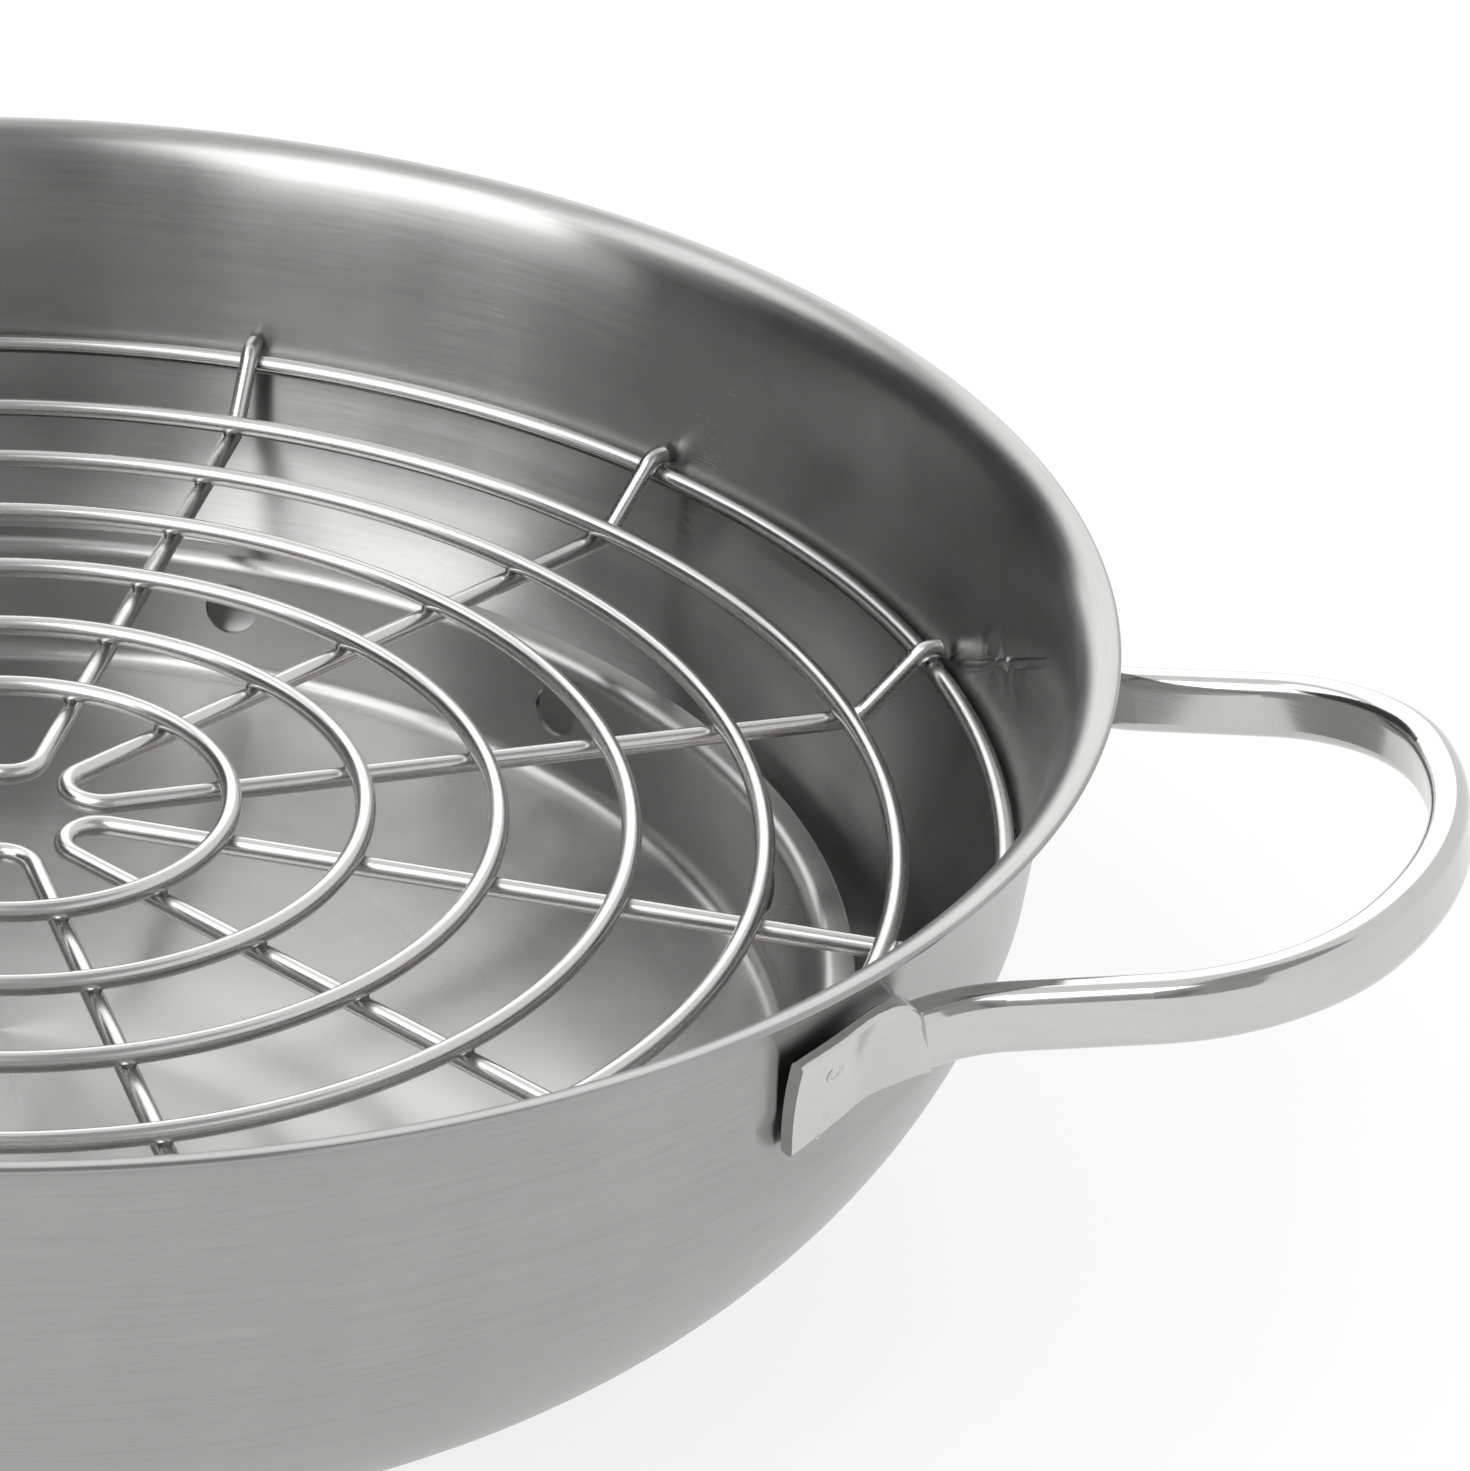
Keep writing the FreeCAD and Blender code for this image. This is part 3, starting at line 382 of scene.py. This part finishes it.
# %% Bowl
PAN_LEVEL = 6.0 * MM
SHELL_SHEET = 0.9 * MM
WALL_STEP = (1.4 * MM,)
BOWL_MOVES = [(74.0 * MM,), (8.28 * MM,), (45.0 * MM, 37.7, 13), (72.0 * MM, 39.1, 14),
              (15.0 * MM, 8.2, 3), (4.147 * MM,)] + [WALL_STEP] * 5 + [
              (86.04 * MM, -7.5, 8), (26.0 * MM, -9.0, 6), (11.0 * MM, -14.5, 8),
              (5.0 * MM, -22.0, 8), (3.4 * MM, -32.0, 10)]
bowl = spin_sheet("bowl", sheet_outline(PAN_LEVEL, SHELL_SHEET, BOWL_MOVES), 480)

WELD_PULLS = ((28.2, 66.6), (25.8, 68.0), (23.4, 69.8))
WELD_RADIUS = 136.5 * MM
WELD_SPREAD = 4.0 * MM
WELD_PULL = 0.65 * MM
marks = []
for direction, level in WELD_PULLS:
    for turn in (direction, -direction, 180 - direction, direction - 180):
        marks.append((math.radians(turn), level * MM))
for angle, level in marks:
    inwards = Vector((-math.cos(angle), -math.sin(angle), 0))
    target = -inwards * WELD_RADIUS + Vector((0, 0, level))
    bpy.ops.object.select_all(action="DESELECT")
    bpy.context.view_layer.objects.active = bowl
    bowl.select_set(True)
    bpy.ops.object.mode_set(mode="EDIT")
    bpy.ops.mesh.select_all(action="DESELECT")
    bpy.ops.object.mode_set(mode="OBJECT")
    nearest = min(bowl.data.vertices, key=lambda v: (v.co - target).length)
    nearest.select = True
    bpy.ops.object.mode_set(mode="EDIT")
    bpy.ops.transform.translate(
        value=inwards * WELD_PULL, use_proportional_edit=True,
        proportional_edit_falloff="SMOOTH", proportional_size=WELD_SPREAD)
    bpy.ops.object.mode_set(mode="OBJECT")
settle(bowl, bowl_steel, "pan", "bowl_steel", "pan_shell")

# %% [markdown]
# ### The drip tray
#
# The tray is a shallow pressed dish: a flat floor, a tight corner, an upright wall and a
# narrow flange. Twelve round smoke holes are punched through the wall. Twelve cylinders
# stand for the punches, and one Boolean takes them all out of the spun sheet.

# %% Drip tray
TRAY_SHEET = 0.8 * MM
TRAY_FLAT_RADIUS = 105.41 * MM
TRAY_FIRST_MOVE = 98.0 * MM
TRAY_LEVEL = 14.677 * MM
TRAY_MOVES = [(TRAY_FIRST_MOVE,), (TRAY_FLAT_RADIUS - TRAY_FIRST_MOVE,),
              (3.8 * MM, 84.0, 24), (13.9 * MM,), (1.7 * MM, -84.0, 20), (2.5 * MM,)]
SMOKE_HOLES = 12
SMOKE_HOLE_RADIUS = 4.0 * MM
SMOKE_HOLE_LEVEL = 26.29 * MM
PUNCH_LENGTH = 20.0 * MM
TRAY_TURN = math.radians(2.6)
tray = spin_sheet("tray", sheet_outline(TRAY_LEVEL, TRAY_SHEET, TRAY_MOVES), 360)
punches = []
for n in range(SMOKE_HOLES):
    angle = TRAY_TURN + 2 * math.pi * n / SMOKE_HOLES
    bpy.ops.mesh.primitive_cylinder_add(
        vertices=48, radius=SMOKE_HOLE_RADIUS, depth=PUNCH_LENGTH,
        location=(TRAY_FLAT_RADIUS * math.cos(angle), TRAY_FLAT_RADIUS * math.sin(angle),
                  SMOKE_HOLE_LEVEL),
        rotation=(0, math.pi / 2, angle))
    punches.append(bpy.context.object)
bpy.ops.object.select_all(action="DESELECT")
for punch in punches:
    punch.select_set(True)
bpy.context.view_layer.objects.active = punches[0]
bpy.ops.object.join()
punch = bpy.context.object
bpy.ops.object.select_all(action="DESELECT")
tray.select_set(True)
bpy.context.view_layer.objects.active = tray
holes = tray.modifiers.new("smoke_holes", "BOOLEAN")
holes.operation = "DIFFERENCE"
holes.solver = "EXACT"
holes.object = punch
bpy.ops.object.modifier_apply(modifier=holes.name)
bpy.data.objects.remove(punch)
bpy.ops.object.shade_smooth_by_angle(angle=math.radians(40))
settle(tray, tray_steel, "tray", "tray_steel", "drip_tray")

# %% [markdown]
# ### The rings of the rack
#
# Each ring is one length of drawn wire, bent round and butt welded. A circle of wire size,
# spun round the axis, gives it. Six rings lie flat at one level on top of the legs, and the
# largest one lies lower on the pan's wall, under the raised ends of the legs.

# %% Rings
WIRE_RADIUS = 1.4 * MM
RING_LEVEL = 52.34 * MM
FIRST_RING_RADIUS = 30.4 * MM
RING_PITCH = 17.797 * MM
FLAT_RINGS = 6
OUTER_RING_RADIUS = 133.24 * MM
OUTER_RING_LEVEL = 56.54 * MM
ring_places = [(FIRST_RING_RADIUS + RING_PITCH * n, RING_LEVEL) for n in range(FLAT_RINGS)]
ring_places.append((OUTER_RING_RADIUS, OUTER_RING_LEVEL))
for number, (radius, level) in enumerate(ring_places, start=1):
    bpy.ops.object.select_all(action="DESELECT")
    bpy.ops.mesh.primitive_circle_add(
        vertices=28, radius=WIRE_RADIUS, location=(radius, 0, level),
        rotation=(math.pi / 2, 0, 0))
    bpy.ops.object.transform_apply(location=True, rotation=True, scale=True)
    ring = bpy.context.object
    ring.name = "ring_wire_%d" % number
    bpy.ops.object.mode_set(mode="EDIT")
    bpy.ops.mesh.select_all(action="SELECT")
    bpy.ops.mesh.spin(steps=240, angle=2 * math.pi, center=(0, 0, 0), axis=(0, 0, 1))
    bpy.ops.mesh.select_all(action="SELECT")
    bpy.ops.mesh.remove_doubles(threshold=SEAM)
    bpy.ops.mesh.normals_make_consistent(inside=False)
    bpy.ops.object.mode_set(mode="OBJECT")
    bpy.ops.object.shade_smooth()
    settle(ring, wire_steel, "rack", "wire_steel", "rack_ring_%d" % number)

# %% [markdown]
# ### Weld nuggets
#
# Where a leg crosses a ring, resistance welding squeezed the two wires together and left a
# small nugget between them. Its dark colour is partly the burn of the weld and partly painted
# shade where the ring shades the leg. One nugget is a squashed ball with a pinched waist. It
# is copied to every crossing, and all copies are joined into one piece.

# %% Weld nuggets
HAIRPINS = 6
HAIRPIN_TURN = -10.5
LEG_ANGLE = 14.5
APEX_BACK = 3.9 * MM
LEG_LEVEL = 49.51 * MM
RAISED_LEVEL = 59.37 * MM
bpy.ops.object.select_all(action="DESELECT")
bpy.ops.mesh.primitive_uv_sphere_add(segments=14, ring_count=7, radius=1.0 * MM)
nugget = bpy.context.object
bpy.ops.object.mode_set(mode="EDIT")
bpy.ops.mesh.select_all(action="SELECT")
bpy.ops.transform.resize(value=(1.35, 1.1, 0.75))
bpy.ops.mesh.select_all(action="DESELECT")
bpy.ops.object.mode_set(mode="OBJECT")
for vertex in nugget.data.vertices:
    vertex.select = abs(vertex.co.z) < 0.2 * MM
bpy.ops.object.mode_set(mode="EDIT")
bpy.ops.transform.resize(value=(0.86, 0.86, 1.0))
bpy.ops.object.mode_set(mode="OBJECT")
bpy.ops.object.shade_smooth()
copies = []
for hairpin in range(HAIRPINS):
    middle = math.radians(HAIRPIN_TURN + 360 / HAIRPINS * hairpin)
    for side in (-1, 1):
        leg = middle + side * math.radians(LEG_ANGLE)
        for radius, level in ring_places:
            across = APEX_BACK * math.sin(math.radians(LEG_ANGLE))
            reach = math.sqrt(radius ** 2 - across ** 2)
            reach += APEX_BACK * math.cos(math.radians(LEG_ANGLE))
            wire = LEG_LEVEL if level == RING_LEVEL else RAISED_LEVEL
            place = (reach * math.cos(leg) - APEX_BACK * math.cos(middle),
                     reach * math.sin(leg) - APEX_BACK * math.sin(middle),
                     (level + wire) / 2)
            copies.append(copied(nugget, place, (0, 0, leg)))
bpy.data.objects.remove(nugget)
settle(joined(copies, "weld_nuggets"), weld_burn_and_shade, "rack", "wire_steel")
print("welds at", len(copies), "crossings")

# %% [markdown]
# ### Spot welds on the feet
#
# Each foot is held by three spot welds. The electrode leaves a round dent with a raised
# edge on the outside of the foot. A ray shot at the foot finds the metal and its slope, and
# a thin, flat ring is laid there.

# %% Spot welds
RAY_START = 0.3
SPOT_WELDS = ((25.6, 74.0, 1.0), (25.4, 67.25, 0.45), (25.7, 64.8, 0.4))
bpy.ops.object.select_all(action="DESELECT")
bpy.ops.mesh.primitive_torus_add(
    major_segments=28, minor_segments=8, major_radius=1.15 * MM, minor_radius=0.3 * MM)
spot = bpy.context.object
bpy.ops.object.mode_set(mode="EDIT")
bpy.ops.mesh.select_all(action="SELECT")
bpy.ops.transform.resize(value=(1.0, 1.0, 0.35))
bpy.ops.mesh.select_all(action="DESELECT")
bpy.ops.object.mode_set(mode="OBJECT")
for vertex in spot.data.vertices:
    vertex.select = vertex.co.x > 0.9 * MM
bpy.ops.object.mode_set(mode="EDIT")
bpy.ops.transform.translate(value=(0, 0, -0.06 * MM))
bpy.ops.object.mode_set(mode="OBJECT")
bpy.ops.object.shade_smooth()
copies = []
for handle, base_turn in (("handle_right", 0), ("handle_left", 180)):
    for side in (-1, 1):
        for direction, level, scale in SPOT_WELDS:
            angle = math.radians(base_turn + side * direction)
            outwards = Vector((math.cos(angle), math.sin(angle), 0))
            start = outwards * RAY_START + Vector((0, 0, level * MM))
            hit, place, normal, face = nodes[handle].ray_cast(start, -outwards)
            turn = normal.to_track_quat("Z", "X").to_euler()
            copies.append(copied(spot, place, turn, (scale, scale, scale)))
bpy.data.objects.remove(spot)
settle(joined(copies, "spot_welds"), handle_steel, "pan", "handle_steel")

# %% [markdown]
# ### Ridges behind the feet
#
# Inside the bowl the welds drew up a thin ridge that climbs along the foot and has two small
# peaks. One long bead is modelled. Its copies overlap in a chain along the ridge, and rays
# shot from the pan's axis find the wall under each of them.

# %% Weld ridges
RIDGE_START = (31.6, 60.0)
RIDGE_END = (18.9, 76.6)
RIDGE_BEADS = 15
BEAD_LENGTH = 3.4
BEAD_WIDTH = 0.85
BEAD_HEIGHTS = (0.25, 0.42)
RIDGE_PEAKS = ((0.36, (0.9, 1.0, 0.95)), (0.53, (1.0, 1.1, 1.1)))
NEXT_STEP = 0.02


def on_ridge(base_turn, side, share):
    """Place on the bowl's inside wall at a share of the ridge, and the wall's normal."""
    direction, level = [a + (b - a) * share for a, b in zip(RIDGE_START, RIDGE_END)]
    turn = math.radians(base_turn + side * direction)
    outwards = Vector((math.cos(turn), math.sin(turn), 0))
    hit, place, normal, face = bowl.ray_cast(Vector((0, 0, level * MM)), outwards)
    return place, normal


bpy.ops.object.select_all(action="DESELECT")
bpy.ops.mesh.primitive_uv_sphere_add(segments=20, ring_count=12, radius=1.0 * MM)
bead = bpy.context.object
for vertex in bead.data.vertices:
    vertex.select = vertex.co.z < -0.1 * MM
bpy.ops.object.mode_set(mode="EDIT")
bpy.ops.transform.resize(value=(1.0, 1.0, 0.6))
bpy.ops.object.mode_set(mode="OBJECT")
bpy.ops.object.shade_smooth()
beads = list(RIDGE_PEAKS)
for n in range(RIDGE_BEADS):
    share = n / (RIDGE_BEADS - 1)
    height = BEAD_HEIGHTS[0] + BEAD_HEIGHTS[1] * math.sin(math.pi * share)
    beads.append((share, (BEAD_LENGTH, BEAD_WIDTH, height)))
copies = []
for base_turn, side in ((0, 1), (0, -1), (180, 1), (180, -1)):
    for share, sizes in beads:
        place, normal = on_ridge(base_turn, side, share)
        along = (on_ridge(base_turn, side, share + NEXT_STEP)[0] - place).normalized()
        across = normal.cross(along).normalized()
        turned = Matrix((along, across, along.cross(across))).transposed()
        copies.append(copied(bead, place, turned.to_euler(), sizes))
bpy.data.objects.remove(bead)
settle(joined(copies, "weld_ridges"), bowl_steel, "pan", "bowl_steel")

# %% [markdown]
# ## Floor, light and background
#
# Polished steel only shows its surroundings, so they are laid out with care. The floor and
# the air are plain white. A large softbox hangs in front on the left and gives the lip its
# highlight, a smaller one above the left side carries that highlight on round the lip, and
# another stands behind. A dark card on the left and grey ones in front and above give the
# steel something to show besides white.

# %% Floor
FLOOR_SIZE = 6.0
FLOOR_TONE = 0.95
FLOOR_WHITE_SHARE = 0.8
bpy.ops.object.select_all(action="DESELECT")
bpy.ops.mesh.primitive_plane_add(size=FLOOR_SIZE, location=(0, 0, 0))
floor = bpy.context.object
floor.name = "floor"


def white_share(tree):
    """1 for rays that should meet the white background, 0 for those that carry light."""
    rays = add(tree, "ShaderNodeLightPath")
    return math_node(tree, "MAXIMUM", rays.outputs["Is Camera Ray"], math_node(
        tree, "MAXIMUM", rays.outputs["Is Glossy Ray"], rays.outputs["Is Transmission Ray"]))


floor_material, tree, output = new_material("floor_white")
pale = add(tree, "ShaderNodeBsdfDiffuse", {"Color": (FLOOR_TONE, FLOOR_TONE, FLOOR_TONE, 1)})
bright = add(tree, "ShaderNodeEmission", {"Color": (1, 1, 1, 1), "Strength": 1.0})
share = math_node(tree, "MULTIPLY", white_share(tree), FLOOR_WHITE_SHARE)
blend = add(tree, "ShaderNodeMixShader", {0: share, 1: pale.outputs[0], 2: bright.outputs[0]})
tree.links.new(blend.outputs[0], output.inputs["Surface"])
print("floor of", FLOOR_SIZE, "m, white")
floor.data.materials.append(floor_material)

# %% World
# The air lights the pan with SOFT_LIGHT, and shows as plain white.
SOFT_LIGHT = 0.95
world = bpy.data.worlds.new("studio")
bpy.context.scene.world = world
world.use_nodes = True
tree = world.node_tree
tree.nodes.clear()
output = add(tree, "ShaderNodeOutputWorld")
soft = add(tree, "ShaderNodeBackground", {"Color": (1, 1, 1, 1), "Strength": SOFT_LIGHT})
white = add(tree, "ShaderNodeBackground", {"Color": (1, 1, 1, 1), "Strength": 1.0})
blend = add(tree, "ShaderNodeMixShader", {
    0: white_share(tree), 1: soft.outputs[0], 2: white.outputs[0]})
tree.links.new(blend.outputs[0], output.inputs["Surface"])

# %% Lamps and cards
def facing(place, target):
    """Turn that points local -Z from a place to a target, local Y upwards."""
    return (Vector(target) - Vector(place)).to_track_quat("-Z", "Y").to_euler()


def softbox(name, place, target, width, height, brightness):
    """Area lamp whose face shows the given brightness, where 1 is white."""
    data = bpy.data.lights.new(name, "AREA")
    data.shape = "RECTANGLE"
    data.size = width
    data.size_y = height
    data.energy = brightness * math.pi * width * height
    lamp = bpy.data.objects.new(name, data)
    lamp.location = place
    lamp.rotation_euler = facing(place, target)
    lamp.visible_camera = False
    bpy.context.scene.collection.objects.link(lamp)
    print(name, "gives", round(data.energy, 2), "W")


def card(name, place, target, width, height, tone):
    """Plain card of one grey, unseen by the camera, for the steel to reflect."""
    bpy.ops.object.select_all(action="DESELECT")
    bpy.ops.mesh.primitive_plane_add(size=1.0, location=place, rotation=facing(place, target))
    piece = bpy.context.object
    piece.name = name
    piece.scale = (width, height, 1.0)
    piece.visible_camera = False
    piece.visible_diffuse = False
    material, tree, output = new_material(name)
    paint = add(tree, "ShaderNodeEmission", {"Color": (1, 1, 1, 1), "Strength": tone})
    tree.links.new(paint.outputs[0], output.inputs["Surface"])
    piece.data.materials.append(material)


softbox("window", (-0.45, -0.78, 1.05), (0, 0, 0.09), 0.89, 1.1, 2.7)
softbox("left_above", (-0.85, 0.05, 1.15), (0, 0, 0.09), 0.9, 0.5, 1.35)
softbox("behind", (-0.62, 1.4, 0.72), (0, 0, 0.05), 1.5, 1.1, 0.95)
card("left_card", (-1.1, 0.215, 0.5), (0, 0.215, 0.3), 1.97, 0.95, 0.06)
card("front_card", (0.66, -1.3, 1.2), (0.66, 0, 1.2), 1.5, 2.4, 0.44)
card("top_card", (0.66, -0.4, 2.0), (0.66, -0.4, 0), 1.5, 1.8, 0.4)
card("narrow_card", (0.3, -1.15, 0.5), (0.3, 0, 0.5), 0.22, 1.0, 0.28)

# %% [markdown]
# ## Colour
#
# The view transform stays plain, so a grey renders as it is written.

# %% Finish
bpy.context.scene.view_settings.view_transform = "Standard"
